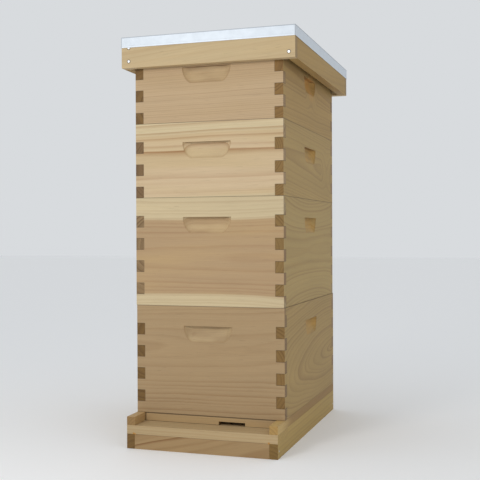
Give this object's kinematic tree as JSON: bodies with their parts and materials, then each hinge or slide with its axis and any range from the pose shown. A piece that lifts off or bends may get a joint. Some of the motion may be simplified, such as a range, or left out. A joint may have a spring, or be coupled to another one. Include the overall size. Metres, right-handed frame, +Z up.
{
  "type": "langstroth hive",
  "caption": "Unpainted wooden beehive: deep and medium box-jointed boxes with hanging frames on a bottom board, under an inner cover and a metal-capped telescoping cover.",
  "frame": {"origin": "on the ground under the middle of the whole hive's outer box, which is the middle of the cover from side to side", "axes": "+Z up, -Y towards the entrance and the landing board, +X to the right as seen from the entrance side"},
  "size_m": [0.409, 0.5994, 0.9239],
  "materials": {
    "front_pine": "bare planed pine, straight grain",
    "side_pine": "bare planed pine, arched grain",
    "strip_pine": "bare brown heartwood",
    "cover_pine": "bare pale pine",
    "frame_pine": "bare pale pine",
    "wax": "beeswax-coated embossed sheet",
    "cap_metal": "dull bright sheet",
    "nail_steel": "bright flat heads"
  },
  "bodies": {
    "bottom_board": {"left_rail": "side_pine", "right_rail": "side_pine", "front_cleat": "front_pine", "rear_cleat": "front_pine", "landing_board": "front_pine", "floor_boards": "front_pine", "left_strip": "side_pine", "right_strip": "strip_pine", "rear_strip": "front_pine", "floor_nails": "nail_steel"},
    "entrance_reducer": {"entrance_reducer": "front_pine"},
    "lower_deep": {"lower_deep_front_board": "front_pine", "lower_deep_rear_board": "front_pine", "lower_deep_left_board": "side_pine", "lower_deep_right_board": "side_pine"},
    "lower_deep_frames": {"lower_deep_top_bars": "frame_pine", "lower_deep_end_bars": "frame_pine", "lower_deep_bottom_bars": "frame_pine", "lower_deep_foundations": "wax"},
    "upper_deep": {"upper_deep_front_board": "front_pine", "upper_deep_rear_board": "front_pine", "upper_deep_left_board": "side_pine", "upper_deep_right_board": "side_pine"},
    "upper_deep_frames": {"upper_deep_top_bars": "frame_pine", "upper_deep_end_bars": "frame_pine", "upper_deep_bottom_bars": "frame_pine", "upper_deep_foundations": "wax"},
    "lower_medium": {"lower_medium_front_board": "front_pine", "lower_medium_rear_board": "front_pine", "lower_medium_left_board": "side_pine", "lower_medium_right_board": "side_pine"},
    "lower_medium_frames": {"lower_medium_top_bars": "frame_pine", "lower_medium_end_bars": "frame_pine", "lower_medium_bottom_bars": "frame_pine", "lower_medium_foundations": "wax"},
    "upper_medium": {"upper_medium_front_board": "front_pine", "upper_medium_rear_board": "front_pine", "upper_medium_left_board": "side_pine", "upper_medium_right_board": "side_pine"},
    "upper_medium_frames": {"upper_medium_top_bars": "frame_pine", "upper_medium_end_bars": "frame_pine", "upper_medium_bottom_bars": "frame_pine", "upper_medium_foundations": "wax"},
    "free_frame": {"free_top_bar": "frame_pine", "free_end_bars": "frame_pine", "free_bottom_bar": "frame_pine", "free_foundation": "wax"},
    "inner_cover": {"inner_panel": "cover_pine", "inner_front_rim": "cover_pine", "inner_rear_rim": "cover_pine", "inner_left_rim": "cover_pine", "inner_right_rim": "cover_pine"},
    "outer_cover": {"cover_panel": "cover_pine", "cover_front_rim": "cover_pine", "cover_rear_rim": "cover_pine", "cover_left_rim": "cover_pine", "cover_right_rim": "cover_pine", "cover_nails": "nail_steel", "metal_cap": "cap_metal"}
  },
  "joints": [
    {"name": "reducer_pull", "type": "slide", "parent": "bottom_board", "child": "entrance_reducer", "axis": [0, -1, 0], "range_m": [0, 0.12]},
    {"name": "lower_deep_lift", "type": "slide", "parent": "bottom_board", "child": "lower_deep", "axis": [0, 0, 1], "range_m": [0, 0.3]},
    {"name": "lower_deep_frames_lift", "type": "slide", "parent": "lower_deep", "child": "lower_deep_frames", "axis": [0, 0, 1], "range_m": [0, 0.245]},
    {"name": "upper_deep_lift", "type": "slide", "parent": "lower_deep_frames", "child": "upper_deep", "axis": [0, 0, 1], "range_m": [0, 0.3]},
    {"name": "upper_deep_frames_lift", "type": "slide", "parent": "upper_deep", "child": "upper_deep_frames", "axis": [0, 0, 1], "range_m": [0, 0.245]},
    {"name": "lower_medium_lift", "type": "slide", "parent": "upper_deep_frames", "child": "lower_medium", "axis": [0, 0, 1], "range_m": [0, 0.3]},
    {"name": "lower_medium_frames_lift", "type": "slide", "parent": "lower_medium", "child": "lower_medium_frames", "axis": [0, 0, 1], "range_m": [0, 0.172]},
    {"name": "upper_medium_lift", "type": "slide", "parent": "lower_medium_frames", "child": "upper_medium", "axis": [0, 0, 1], "range_m": [0, 0.3]},
    {"name": "upper_medium_frames_lift", "type": "slide", "parent": "upper_medium", "child": "upper_medium_frames", "axis": [0, 0, 1], "range_m": [0, 0.172]},
    {"name": "free_frame_lift", "type": "slide", "parent": "upper_medium_frames", "child": "free_frame", "axis": [0, 0, 1], "range_m": [0, 0.172]},
    {"name": "inner_cover_lift", "type": "slide", "parent": "free_frame", "child": "inner_cover", "axis": [0, 0, 1], "range_m": [0, 0.2]},
    {"name": "outer_cover_lift", "type": "slide", "parent": "inner_cover", "child": "outer_cover", "axis": [0, 0, 1], "range_m": [0, 0.2]}
  ]
}
